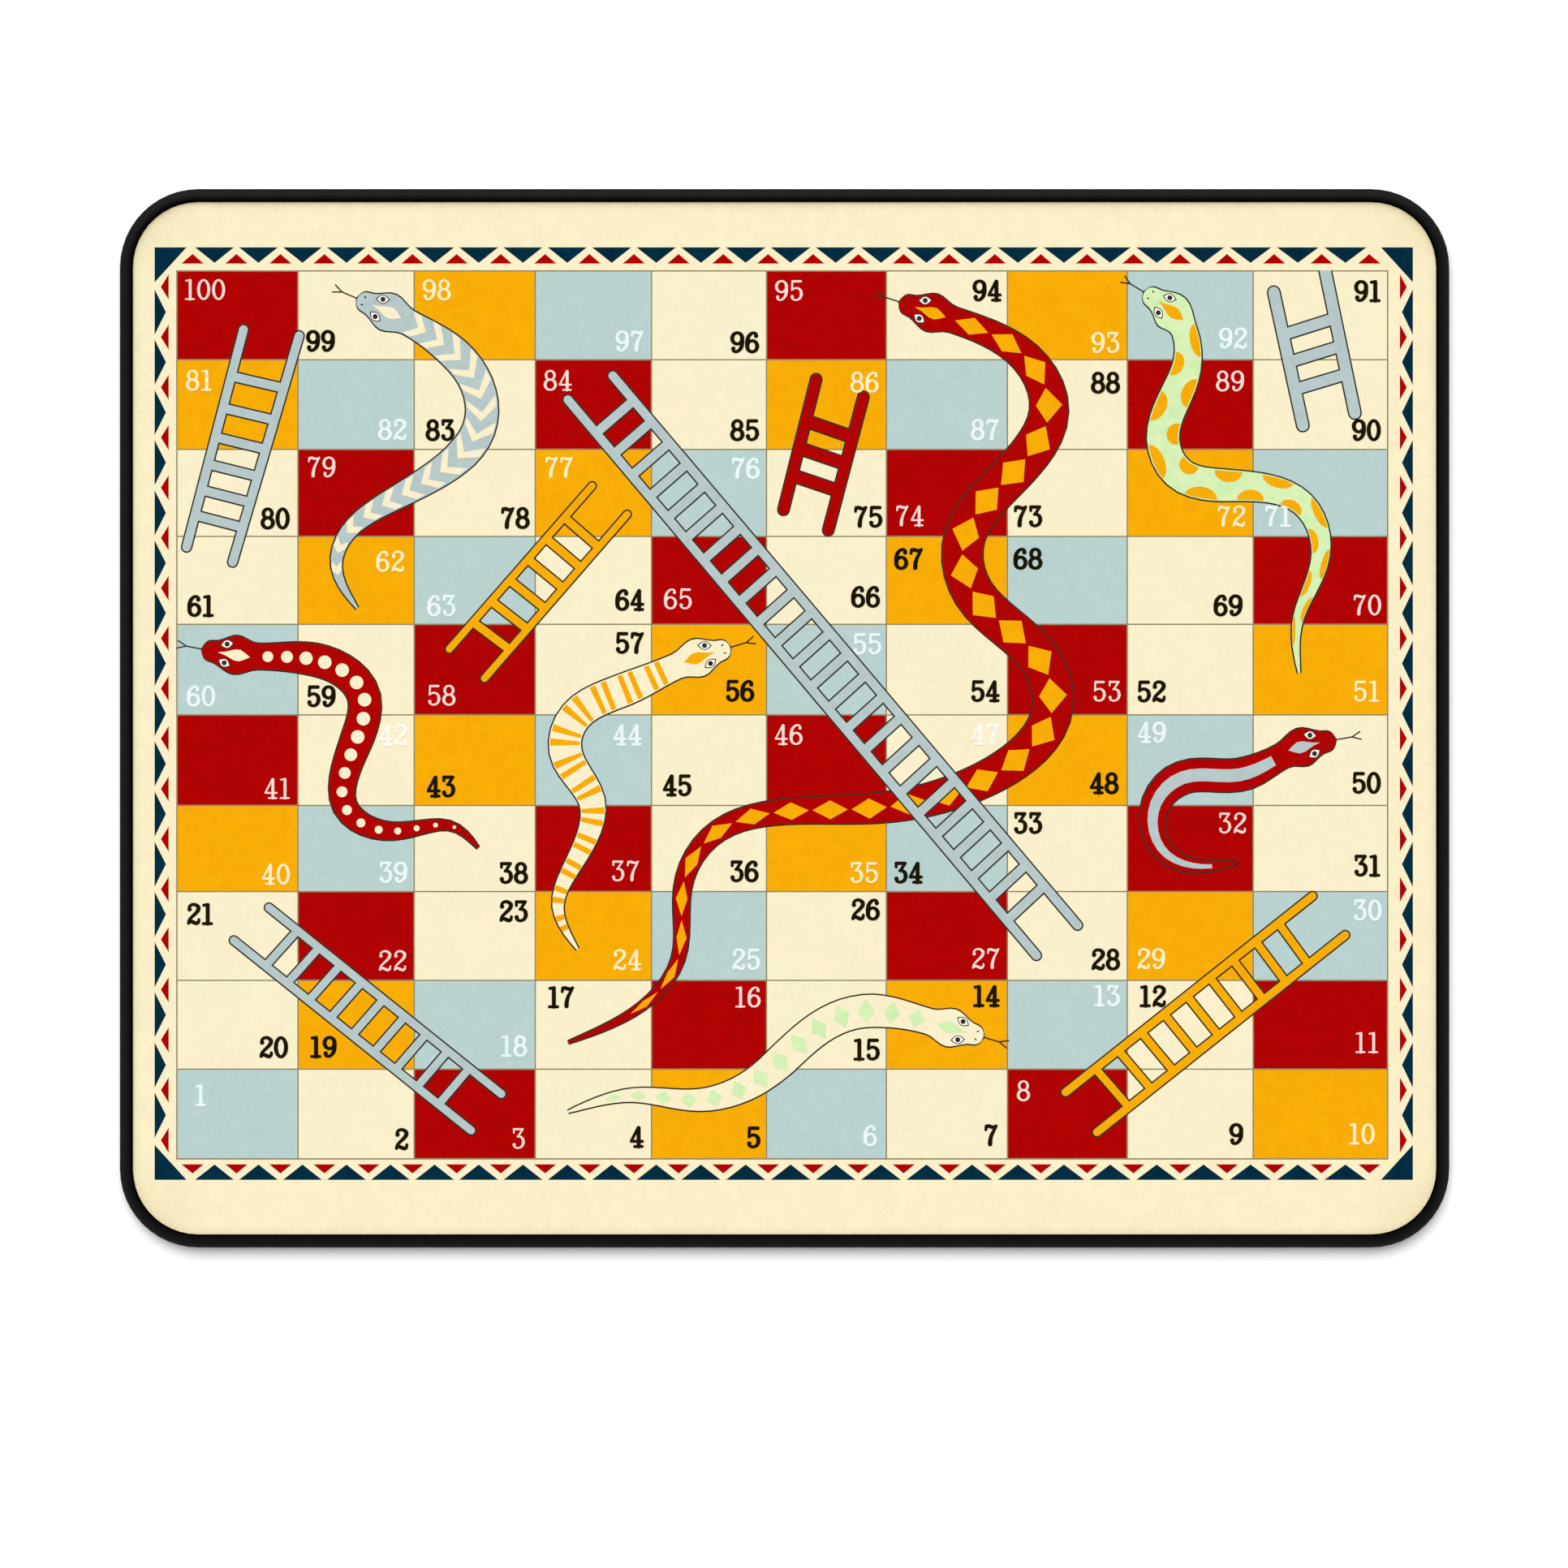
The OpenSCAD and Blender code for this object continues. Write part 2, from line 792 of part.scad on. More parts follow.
module back_stripe(route_shares, body_w) {
    c = curve(route_shares);
    places = [for (s = stations(c, body_w)) if (s > head_l && s < c[0] * marking_reach_share) s];
    polygon(concat(
        [for (s = places) along(c, s, -half_width(c, body_w, s) * stripe_wide_share)],
        [for (i = [len(places) - 1 : -1 : 0])
            along(c, places[i], half_width(c, body_w, places[i]) * stripe_wide_share)]
    ));
}

module snake_from_99() {
    color(steel_ink)
        snake_print(route_99_shares, small_body_w);
}

module markings_99() {
    color(cream_ink)
        ink(marking_z)
            chevrons(
                route_99_shares, small_body_w,
                small_body_w * chevron_pitch_share, small_body_w * chevron_thick_share
            );
}

module snake_from_94() {
    color(red_ink)
        snake_print(route_94_shares, long_body_w);
}

module markings_94() {
    color(amber_ink)
        ink(marking_z)
            difference() {
                lozenges(
                    route_94_shares, long_body_w,
                    long_body_w * lozenge_pitch_share, lozenge_wide_share, lozenge_long_share
                );
                ladder(ladder_to_84_shares, outline_w);
            }
}

module snake_from_92() {
    color(green_ink)
        snake_print(route_92_shares, small_body_w);
}

module markings_92() {
    color(amber_ink)
        ink(marking_z)
            saddles(route_92_shares, small_body_w, small_body_w * saddle_pitch_share);
}

module snake_from_60() {
    color(red_ink)
        snake_print(route_60_shares, small_body_w);
}

module markings_60() {
    color(cream_ink)
        ink(marking_z)
            dots(route_60_shares, small_body_w, small_body_w * dot_pitch_share);
}

module snake_from_56() {
    color(cream_ink)
        snake_print(route_56_shares, small_body_w);
}

module markings_56() {
    color(amber_ink)
        ink(marking_z)
            rings(
                route_56_shares, small_body_w,
                small_body_w * ring_pitch_share, small_body_w * ring_thick_share
            );
}

module snake_from_50() {
    color(red_ink)
        snake_print(route_50_shares, small_body_w);
}

module markings_50() {
    color(steel_ink)
        ink(marking_z)
            back_stripe(route_50_shares, small_body_w);
}

module snake_from_14() {
    color(cream_ink)
        snake_print(route_14_shares, small_body_w);
}

module markings_14() {
    color(green_ink)
        ink(marking_z)
            lozenges(
                route_14_shares, small_body_w,
                small_body_w * patch_pitch_share, patch_wide_share, patch_long_share
            );
}

module snake_eyes() {
    color(keyline_ink)
        ink(marking_z)
            for (route_shares = [
                route_99_shares, route_94_shares, route_92_shares, route_60_shares,
                route_56_shares, route_50_shares, route_14_shares
            ])
                eyes(route_shares);
}

// Dark shapes under the figures, which show round them as their outlines
module ladder_outlines() {
    color(keyline_ink)
        ink(outline_z)
            for (table_shares = [
                ladder_to_100_shares, ladder_to_91_shares, ladder_to_86_shares, ladder_to_84_shares,
                ladder_to_77_shares, ladder_to_30_shares, ladder_to_21_shares
            ])
                ladder(table_shares, outline_w);
}

module snake_outlines() {
    small_route_shares = [
        route_99_shares, route_92_shares, route_60_shares,
        route_56_shares, route_50_shares, route_14_shares
    ];
    color(keyline_ink)
        ink(outline_z) {
            for (route_shares = small_route_shares)
                snake_shape(route_shares, small_body_w, outline_w);
            for (route_shares = concat(small_route_shares, [route_94_shares]))
                tongue(route_shares);
            difference() {
                snake_shape(route_94_shares, long_body_w, outline_w);
                ladder(ladder_to_84_shares, outline_w);
            }
        }
}

edge_rim();
core_board();
face_sheet();
back_sheet();
grid_lines();
cream_squares();
red_squares();
amber_squares();
blue_squares();
border_navy();
border_red();
ladder_outlines();
snake_outlines();
snake_eyes();
ladder_to_100();
ladder_to_91();
ladder_to_86();
ladder_to_84();
ladder_to_77();
ladder_to_30();
ladder_to_21();
snake_from_99();
snake_from_94();
snake_from_92();
snake_from_60();
snake_from_56();
snake_from_50();
snake_from_14();
markings_99();
markings_94();
markings_92();
markings_60();
markings_56();
markings_50();
markings_14();
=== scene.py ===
import math

import bpy
import numpy as np
from mathutils import Matrix, Vector


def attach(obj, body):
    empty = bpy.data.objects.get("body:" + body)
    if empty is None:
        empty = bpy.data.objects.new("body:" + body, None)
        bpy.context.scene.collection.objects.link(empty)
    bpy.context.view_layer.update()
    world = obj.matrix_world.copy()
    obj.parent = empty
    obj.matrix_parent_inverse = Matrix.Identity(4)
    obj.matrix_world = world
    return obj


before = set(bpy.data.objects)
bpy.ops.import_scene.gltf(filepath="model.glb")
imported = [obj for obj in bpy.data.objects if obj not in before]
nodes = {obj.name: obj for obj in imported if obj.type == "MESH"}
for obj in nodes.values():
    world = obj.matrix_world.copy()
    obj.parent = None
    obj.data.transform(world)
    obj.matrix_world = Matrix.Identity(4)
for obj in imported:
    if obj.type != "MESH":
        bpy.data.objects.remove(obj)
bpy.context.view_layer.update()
scene = bpy.context.scene

# Lengths are in metres. The heights and the grid repeat the part's own values.
MM = 0.001
BOARD_L, BOARD_W, CORNER_R, EDGE_W = 400 * MM, 318.5 * MM, 23.6 * MM, 4 * MM
PRINT_Z, INK_T = 5.9 * MM, 0.05 * MM
GRID_X0, GRID_Y0 = -182.8 * MM, -132.55 * MM
GRID_L, GRID_W = 364.2 * MM, 267.1 * MM
COLUMN_SHARES = [0, 0.1, 0.196, 0.296, 0.392, 0.487, 0.586, 0.686, 0.785, 0.889, 1]
ROW_SHARES = [0, 0.101, 0.201, 0.301, 0.398, 0.5, 0.602, 0.701, 0.799, 0.9, 1]
# Keeps two films from lying in one plane
HAIR = 0.01 * MM


# Materials. Places on the object are in millimetres there.

# How bright the light makes a flat white sheet
LIGHT = 1.05
# Specular levels: print and plain paper, and what the rubber's crown and walls have at their most
INK_SHINE, PAPER_SHINE, CROWN_SHINE, WALL_SHINE = 0.006, 0.012, 0.07, 0.11
# How far the painted shade and the grime on the paper reach in from the rubber edge
RIM_SHADE_AND_GRIME_REACH = (0.2, 3.6)
# The corners' darkening: where it begins and where it is full, from the board's middle, lengthwise and
# across
CORNER_DARK_X, CORNER_DARK_Y = (172, 194), (130, 152)
# The rubber's smooth crown starts and ends softly within these distances from the edge's inner side
CROWN_OUTER, CROWN_INNER = (-4.0, -3.1), (-2.4, -0.2)
# The rubber's walls end softly between these heights
WALL_TOP = (3.2, 4.2)


def linear(level):
    """A display level, of which 255 is white, as a linear value."""
    v = level / 255
    return v / 12.92 if v <= 0.04045 else ((v + 0.055) / 1.055) ** 2.4


def tone(r, g, b):
    """The surface colour that shows as these display levels in this light."""
    return tuple(linear(v) / LIGHT for v in (r, g, b))


class Nodes:
    """A short way to build a material's node tree."""

    def __init__(self, name):
        self.material = bpy.data.materials.new(name)
        self.material.use_nodes = True
        self.tree = self.material.node_tree
        self.tree.nodes.clear()
        self.out = self.add("ShaderNodeOutputMaterial")

    def add(self, kind, **settings):
        node = self.tree.nodes.new(kind)
        for key, value in settings.items():
            setattr(node, key, value)
        return node

    def link(self, source, target):
        self.tree.links.new(source, target)

    def put(self, socket, value):
        """Links a socket, or sets it where the value is a number or a colour."""
        if isinstance(value, bpy.types.NodeSocket):
            self.link(value, socket)
        elif socket.type == "RGBA":
            socket.default_value = (*value, 1)
        else:
            socket.default_value = value

    def math(self, operation, a, b=0.0, c=0.0):
        node = self.add("ShaderNodeMath", operation=operation)
        for socket, value in zip(node.inputs, (a, b, c)):
            self.put(socket, value)
        return node.outputs[0]

    def scaled(self, vector, factor):
        """A place or a colour times a factor."""
        node = self.add("ShaderNodeVectorMath", operation="SCALE")
        self.put(node.inputs[0], vector)
        self.put(node.inputs["Scale"], factor)
        return node.outputs[0]

    def place(self):
        """The place on the object, in millimetres."""
        return self.scaled(self.add("ShaderNodeTexCoord").outputs["Object"], 1 / MM)

    def axes(self, where):
        """The x, y and z of a place."""
        node = self.add("ShaderNodeSeparateXYZ")
        self.link(where, node.inputs[0])
        return list(node.outputs)

    def noise(self, where, scale, detail, rough, stretch=(1, 1, 1)):
        """Soft noise round 0.5. A larger scale makes it finer."""
        mapping = self.add("ShaderNodeMapping")
        self.link(where, mapping.inputs["Vector"])
        mapping.inputs["Scale"].default_value = stretch
        node = self.add("ShaderNodeTexNoise")
        self.link(mapping.outputs[0], node.inputs["Vector"])
        node.inputs["Scale"].default_value = scale
        node.inputs["Detail"].default_value = detail
        node.inputs["Roughness"].default_value = rough
        return node.outputs["Fac"]

    def spread(self, value, low, high, to_low, to_high):
        """A value from one range to another, held at its ends."""
        node = self.add("ShaderNodeMapRange", clamp=True)
        inputs = ("Value", "From Min", "From Max", "To Min", "To Max")
        for name, given in zip(inputs, (value, low, high, to_low, to_high)):
            self.put(node.inputs[name], given)
        return node.outputs["Result"]

    def mix(self, factor, a, b):
        """The colour a where the factor is 0, and b where it is 1."""
        node = self.add("ShaderNodeMix", data_type="RGBA")
        colour_a, colour_b = [socket for socket in node.inputs if socket.type == "RGBA"]
        self.put(node.inputs["Factor"], factor)
        self.put(colour_a, a)
        self.put(colour_b, b)
        return next(socket for socket in node.outputs if socket.type == "RGBA")

    def bump(self, height, strength, distance):
        node = self.add("ShaderNodeBump")
        node.inputs["Strength"].default_value = strength
        node.inputs["Distance"].default_value = distance
        self.link(height, node.inputs["Height"])
        return node.outputs["Normal"]

    def surface(self, colour, roughness, specular, normal):
        shader = self.add("ShaderNodeBsdfPrincipled")
        self.put(shader.inputs["Base Color"], colour)
        self.put(shader.inputs["Roughness"], roughness)
        self.put(shader.inputs["Specular IOR Level"], specular)
        self.link(normal, shader.inputs["Normal"])
        self.link(shader.outputs[0], self.out.inputs["Surface"])


def paper_grain(t, where, strength=1.0):
    """Printed paper's mottling, upright fibres and fine grain as a factor near 1, and the grain alone."""
    cloud = t.noise(where, 0.09, 3, 0.6)
    mottle = t.noise(where, 0.5, 3, 0.6)
    fibre = t.noise(where, 1.0, 2, 0.5, (1.6, 0.14, 1))
    grain = t.noise(where, 4.5, 2, 0.7)
    total = 1.0
    for layer, weight in ((cloud, 0.06), (mottle, 0.10), (fibre, 0.05), (grain, 0.06)):
        total = t.math("MULTIPLY_ADD", t.math("SUBTRACT", layer, 0.5), weight * strength, total)
    return total, grain


def patches(t, where, scale):
    """Soft patches, 0 in some places and 1 in others."""
    return t.spread(t.noise(where, scale, 3, 0.6), 0.35, 0.65, 0, 1)


def paper_surface(t, base, factor, grain, shine):
    """Paper of a colour, with its grain in brightness, roughness and relief."""
    rough = t.spread(grain, 0.3, 0.7, 0.62, 0.72)
    t.surface(t.scaled(base, factor), rough, shine, t.bump(grain, 0.12, 0.02 * MM))


def inked(name, colour, tint, strength):
    """Printed paper: a colour, the tint that it drifts to in patches, and how strong its grain is."""
    t = Nodes(name)
    where = t.place()
    factor, grain = paper_grain(t, where, strength)
    base = t.mix(patches(t, where, 0.28), colour, tint)
    paper_surface(t, base, factor, grain, INK_SHINE)
    return t.material


def rim_distance(t, where):
    """Distance in millimetres from the inner side of the rubber edge, inwards."""
    x, y = t.axes(where)[:2]
    radius = (CORNER_R - EDGE_W) / MM
    half_x, half_y = (BOARD_L / 2 - EDGE_W) / MM, (BOARD_W / 2 - EDGE_W) / MM
    out_x = t.math("SUBTRACT", t.math("ABSOLUTE", x), half_x - radius)
    out_y = t.math("SUBTRACT", t.math("ABSOLUTE", y), half_y - radius)
    far_x, far_y = t.math("MAXIMUM", out_x, 0.0), t.math("MAXIMUM", out_y, 0.0)
    squares = t.math("ADD", t.math("MULTIPLY", far_x, far_x), t.math("MULTIPLY", far_y, far_y))
    round_part = t.math("SQRT", squares)
    flat_part = t.math("MINIMUM", t.math("MAXIMUM", out_x, out_y), 0.0)
    return t.math("SUBTRACT", radius, t.math("ADD", round_part, flat_part))


def face_paper():
    """The plain cream paper, darker and yellower where it meets the rubber edge: painted shade from the
    edge, with speckled grime.
    """
    t = Nodes("face_paper")
    where = t.place()
    factor, grain = paper_grain(t, where)
    base = t.mix(patches(t, where, 0.2), tone(255, 243, 203), tone(251, 239, 201))
    speck = t.spread(t.noise(where, 1.4, 4, 0.75), 0.46, 0.66, 0, 1)
    # Painted shade along the rubber edge, mixed with speckled grime, darkens the paper there
    near = t.spread(rim_distance(t, where), *RIM_SHADE_AND_GRIME_REACH, 1, 0)
    rim_shade_and_grime = t.math("MULTIPLY", t.math("MULTIPLY", near, near), t.math("MULTIPLY_ADD", speck, 0.75, 0.25))
    base = t.mix(t.math("MULTIPLY", rim_shade_and_grime, 0.34), base, tone(196, 176, 112))
    # The corners are darker
    x, y = t.axes(where)[:2]
    end = t.spread(t.math("ABSOLUTE", x), *CORNER_DARK_X, 0, 1)
    side = t.spread(t.math("ABSOLUTE", y), *CORNER_DARK_Y, 0, 1)
    corner_darkening = t.math("MULTIPLY", t.math("MULTIPLY", end, side), t.math("MULTIPLY_ADD", speck, 0.6, 0.4))
    base = t.mix(t.math("MULTIPLY", corner_darkening, 0.5), base, tone(214, 196, 140))
    paper_surface(t, base, factor, grain, PAPER_SHINE)
    return t.material


def rubber():
    """Black rubber: a crown worn smooth, dull slopes beside it darkened with painted shade, satin walls,
    and a few dustier patches.
    """
    t = Nodes("rubber_black")
    where = t.place()
    skin = t.noise(where, 5.0, 3, 0.65)
    cloud = t.noise(where, 0.25, 3, 0.6)
    dust = t.spread(t.noise(where, 1.1, 4, 0.7), 0.5, 0.8, 0, 1)
    across = rim_distance(t, where)
    crown = t.math("MULTIPLY", t.spread(across, *CROWN_OUTER, 0, 1), t.spread(across, *CROWN_INNER, 1, 0))
    wall = t.spread(t.axes(where)[2], *WALL_TOP, 1, 0)
    base = t.mix(t.math("MULTIPLY", dust, 0.3), (0.0036, 0.0036, 0.0036), (0.0105, 0.0103, 0.0095))
    # Painted shade: the slopes beside the crown are made near black
    base = t.mix(t.math("SUBTRACT", 1.0, crown), base, (0.0011, 0.0011, 0.0011))
    base = t.mix(wall, base, t.mix(dust, (0.0085, 0.0085, 0.0085), (0.019, 0.0185, 0.0175)))
    rough = t.math("MULTIPLY_ADD", cloud, 0.14, t.math("MULTIPLY_ADD", dust, 0.06, 0.44))
    shine = t.math("MULTIPLY_ADD", wall, WALL_SHINE, t.math("MULTIPLY", crown, CROWN_SHINE))
    t.surface(base, rough, shine, t.bump(skin, 0.18, 0.03 * MM))
    return t.material


def back_lining():
    """Black lining paper with a pressed grain."""
    t = Nodes("back_paper")
    where = t.place()
    pebble = t.add("ShaderNodeTexVoronoi")
    t.link(where, pebble.inputs["Vector"])
    pebble.inputs["Scale"].default_value = 1.1
    factor, grain = paper_grain(t, where, 3)
    base = t.scaled((0.021, 0.021, 0.022), factor)
    height = t.math("MULTIPLY_ADD", grain, 0.3, pebble.outputs["Distance"])
    t.surface(base, t.spread(grain, 0.3, 0.7, 0.5, 0.66), 0.35, t.bump(height, 0.35, 0.12 * MM))
    return t.material


def core_grey():
    """Grey board, made of pulp with pale and dark flecks."""
    t = Nodes("core_grey")
    where = t.place()
    fleck = t.spread(t.noise(where, 2.2, 4, 0.8), 0.4, 0.68, 0, 1)
    base = t.mix(fleck, (0.25, 0.235, 0.205), (0.36, 0.34, 0.30))
    t.surface(base, 0.9, 0.2, t.bump(fleck, 0.3, 0.08 * MM))
    return t.material


# Each ink's display levels, those of its patches, and how strong its grain is
INK_LEVELS = {
    "cream": ((253, 242, 205), (250, 240, 203), 1.0),
    "red": ((180, 3, 2), (172, 3, 4), 2.0),
    "amber": ((251, 177, 6), (247, 171, 8), 1.1),
    "blue": ((189, 213, 209), (185, 209, 207), 1.1),
    "navy": ((3, 48, 69), (4, 40, 59), 3.4),
    "line": ((140, 132, 96), (150, 140, 104), 2.0),
    "keyline": ((42, 41, 34), (56, 53, 42), 2.0),
    "steel": ((187, 204, 204), (182, 198, 199), 1.4),
    "green": ((208, 240, 178), (222, 244, 186), 1.1),
    "black": ((22, 18, 3), (31, 25, 8), 2.0),
    # The white numbers take a tinge of the square under them
    "white_on_red": ((257, 226, 218), (255, 220, 211), 1.0),
    "white_on_amber": ((257, 244, 200), (255, 239, 190), 1.0),
    "white_on_blue": ((241, 251, 251), (233, 246, 247), 1.0),
    "white_on_cream": ((257, 252, 245), (254, 249, 241), 1.0),
}
INKS = {
    name: inked("ink_" + name, tone(*levels), tone(*patch_levels), strength)
    for name, (levels, patch_levels, strength) in INK_LEVELS.items()
}

LOOKS = {
    "edge_rim": rubber(),
    "core_board": core_grey(),
    "face_sheet": face_paper(),
    "back_sheet": back_lining(),
}
NODE_INKS = {
    "grid_lines": "line", "cream_squares": "cream", "red_squares": "red", "amber_squares": "amber",
    "blue_squares": "blue", "border_navy": "navy", "border_red": "red",
    "ladder_outlines": "keyline", "snake_outlines": "keyline", "snake_eyes": "keyline",
    "ladder_to_100": "steel", "ladder_to_91": "steel", "ladder_to_86": "red", "ladder_to_84": "steel",
    "ladder_to_77": "amber", "ladder_to_30": "amber", "ladder_to_21": "steel",
    "snake_from_99": "steel", "snake_from_94": "red", "snake_from_92": "green", "snake_from_60": "red",
    "snake_from_56": "cream", "snake_from_50": "red", "snake_from_14": "cream",
    "markings_99": "cream", "markings_94": "amber", "markings_92": "amber", "markings_60": "cream",
    "markings_56": "amber", "markings_50": "steel", "markings_14": "green",
}
for name, obj in nodes.items():
    look = LOOKS.get(name) or INKS[NODE_INKS[name]]
    if not obj.material_slots:
        obj.data.materials.append(look)
    for place in obj.material_slots:
        place.material = look


# Printed numbers: drawn as strokes of changing width, in units of the digit's height

DIGIT_H, DIGIT_GAP = 6.4 * MM, 0.07
DIGIT_W = {digit: 0.53 if digit == "1" else 0.63 for digit in "0123456789"}
# How softly two strokes join
JOIN = 0.012
# The grid that the digits are worked out on: its step, its lower left corner, its right side and its top
FIELD_STEP, FIELD_LOW, FIELD_RIGHT, FIELD_TOP = 0.0125, -0.05, 0.70, 1.07
# How far a digit's outline may leave its exact course
OUTLINE_SLACK = 0.0016


def smooth(points, steps=7):
    """A rounded path through points of (x, y, half width)."""
    p = [np.array(q, float) for q in points]
    p = [2 * p[0] - p[1], *p, 2 * p[-1] - p[-2]]
    path = []
    for a, b, c, d in zip(p, p[1:], p[2:], p[3:]):
        for k in range(steps):
            t = k / steps
            path.append(0.5 * (
                2 * b + (c - a) * t + (2 * a - 5 * b + 4 * c - d) * t * t
                + (3 * b - a - 3 * c + d) * t ** 3
            ))
    return [*path, p[-2]]


def oval(x, y, rx, ry, side, cap, turns=28):
    """A closed oval stroke, thicker at its sides than at its top and bottom."""
    return [
        np.array([x + rx * math.cos(a), y + ry * math.sin(a), cap + (side - cap) * abs(math.cos(a)) ** 1.5])
        for a in (2 * math.pi * k / turns for k in range(turns + 1))
    ]


def line(*points):
    """A straight stroke through points of (x, y, half width)."""
    return [np.array(q, float) for q in points]


SIX = [
    smooth([(0.50, 0.80, 0.055), (0.50, 0.89, 0.050), (0.40, 0.945, 0.048), (0.26, 0.90, 0.058),
            (0.13, 0.74, 0.072), (0.080, 0.50, 0.078), (0.095, 0.27, 0.075)]),
    oval(0.315, 0.315, 0.237, 0.262, 0.075, 0.052),
    line((0.500, 0.805, 0.083), (0.498, 0.800, 0.083)),
]
# The lower bowl of 3 and 5, and the ball at its end
BOWL = smooth([(0.55, 0.31, 0.076), (0.48, 0.14, 0.062), (0.31, 0.055, 0.050), (0.15, 0.10, 0.052),
               (0.095, 0.20, 0.055)])
BALL = line((0.115, 0.215, 0.083), (0.117, 0.210, 0.083))
DIGITS = {
    "0": [oval(0.315, 0.5, 0.240, 0.447, 0.077, 0.052)],
    "1": [
        line((0.28, 0.93, 0.075), (0.28, 0.05, 0.075)),
        line((0.28, 0.945, 0.052), (0.09, 0.915, 0.050)),
        line((0.07, 0.05, 0.050), (0.46, 0.05, 0.050)),
    ],
    "2": [
        smooth([(0.115, 0.73, 0.055), (0.13, 0.86, 0.052), (0.25, 0.945, 0.052), (0.41, 0.935, 0.058),
                (0.535, 0.83, 0.074), (0.53, 0.69, 0.076), (0.42, 0.54, 0.066), (0.25, 0.38, 0.056),
                (0.12, 0.23, 0.052), (0.075, 0.07, 0.052)]),
        smooth([(0.085, 0.10, 0.060), (0.19, 0.155, 0.064), (0.33, 0.105, 0.070), (0.45, 0.065, 0.066),
                (0.545, 0.12, 0.056), (0.565, 0.24, 0.050)]),
        line((0.128, 0.725, 0.083), (0.126, 0.720, 0.083)),
    ],
    "3": [
        line((0.10, 0.77, 0.050), (0.10, 0.945, 0.050)),
        line((0.10, 0.940, 0.058), (0.52, 0.940, 0.058)),
        line((0.515, 0.935, 0.052), (0.30, 0.600, 0.052)),
        smooth([(0.27, 0.595, 0.050), (0.41, 0.585, 0.054), (0.52, 0.48, 0.070), (0.55, 0.31, 0.076)]),
        BOWL,
        BALL,
    ],
    "4": [
        line((0.41, 0.92, 0.075), (0.41, 0.05, 0.075)),
        line((0.39, 0.94, 0.052), (0.065, 0.315, 0.050)),
        line((0.06, 0.295, 0.050), (0.585, 0.295, 0.050)),
        line((0.22, 0.05, 0.050), (0.575, 0.05, 0.050)),
    ],
    "5": [
        line((0.14, 0.935, 0.062), (0.52, 0.935, 0.062)),
        line((0.13, 0.945, 0.052), (0.105, 0.53, 0.052)),
        smooth([(0.105, 0.53, 0.048), (0.24, 0.610, 0.050), (0.40, 0.60, 0.056), (0.52, 0.49, 0.070),
                (0.55, 0.31, 0.076)]),
        BOWL,
        BALL,
    ],
    "6": SIX,
    "7": [
        line((0.075, 0.76, 0.050), (0.095, 0.94, 0.050)),
        smooth([(0.095, 0.88, 0.058), (0.20, 0.935, 0.066), (0.33, 0.895, 0.066), (0.45, 0.885, 0.058),
                (0.565, 0.945, 0.048)]),
        smooth([(0.560, 0.935, 0.048), (0.46, 0.74, 0.054), (0.35, 0.52, 0.066), (0.285, 0.28, 0.078),
                (0.275, 0.085, 0.085)]),
    ],
    "8": [oval(0.315, 0.735, 0.200, 0.213, 0.068, 0.050), oval(0.315, 0.295, 0.243, 0.243, 0.076, 0.052)],
    "9": [[np.array([0.63 - q[0], 1 - q[1], q[2]]) for q in stroke] for stroke in SIX],
}


def stroke_field(strokes, x, y):
    """Signed distance from the edge of the strokes, negative inside."""
    field = np.full(x.shape, 9.0)
    for stroke in strokes:
        for a, b in zip(stroke, stroke[1:]):
            d = b[:2] - a[:2]
            t = np.clip(((x - a[0]) * d[0] + (y - a[1]) * d[1]) / max(d @ d, 1e-12), 0, 1)
            away = np.hypot(x - a[0] - t * d[0], y - a[1] - t * d[1]) - (a[2] + (b[2] - a[2]) * t)
            # A rounded join fills the inner corners a little, as ink does
            h = np.clip(0.5 + (field - away) / (2 * JOIN), 0, 1)
            field = field * (1 - h) + away * h - JOIN * h * (1 - h) * 0.5
    return field


def outlines(field, step, x0, y0):
    """The closed lines along which a field on a grid is zero."""
    inside = field < 0
    follow, spot = {}, {}

    def crossing(a, b):
        """The key of the zero between two neighbouring grid points. Its place goes into spot."""
        key = (min(a, b), max(a, b))
        (ai, aj), (bi, bj) = key
        t = field[ai, aj] / (field[ai, aj] - field[bi, bj])
        spot[key] = (x0 + (ai + (bi - ai) * t) * step, y0 + (aj + (bj - aj) * t) * step)
        return key

    for i in range(field.shape[0] - 1):
        for j in range(field.shape[1] - 1):
            ring = [(i, j), (i + 1, j), (i + 1, j + 1), (i, j + 1)]
            enter, leave = [], []
            for a, b in zip(ring, ring[1:] + ring[:1]):
                if inside[a] and not inside[b]:
                    leave.append(crossing(a, b))
                elif inside[b] and not inside[a]:
                    enter.append(crossing(a, b))
            for a, b in zip(leave, enter):
                follow[a] = b
    loops = []
    while follow:
        start = next(iter(follow))
        loop, here = [spot[start]], follow.pop(start)
        while here != start:
            loop.append(spot[here])
            here = follow.pop(here)
        loops.append(loop)
    return loops


def thinned(loop, slack):
    """A closed line without the points that lie within slack of its straight runs."""
    p = np.array(loop)

    def keep(lo, hi):
        if hi - lo < 2:
            return []
        a, b = p[lo], p[hi % len(p)]
        d = b - a
        q = p[lo + 1:hi] - a
        off = np.abs(q[:, 0] * d[1] - q[:, 1] * d[0]) / max(np.hypot(*d), 1e-9)
        k = int(off.argmax())
        if off[k] < slack:
            return []
        m = lo + 1 + k
        return [*keep(lo, m), m, *keep(m, hi)]

    half = len(p) // 2
    return [tuple(p[i]) for i in [0, *keep(0, half), half, *keep(half, len(p))]]


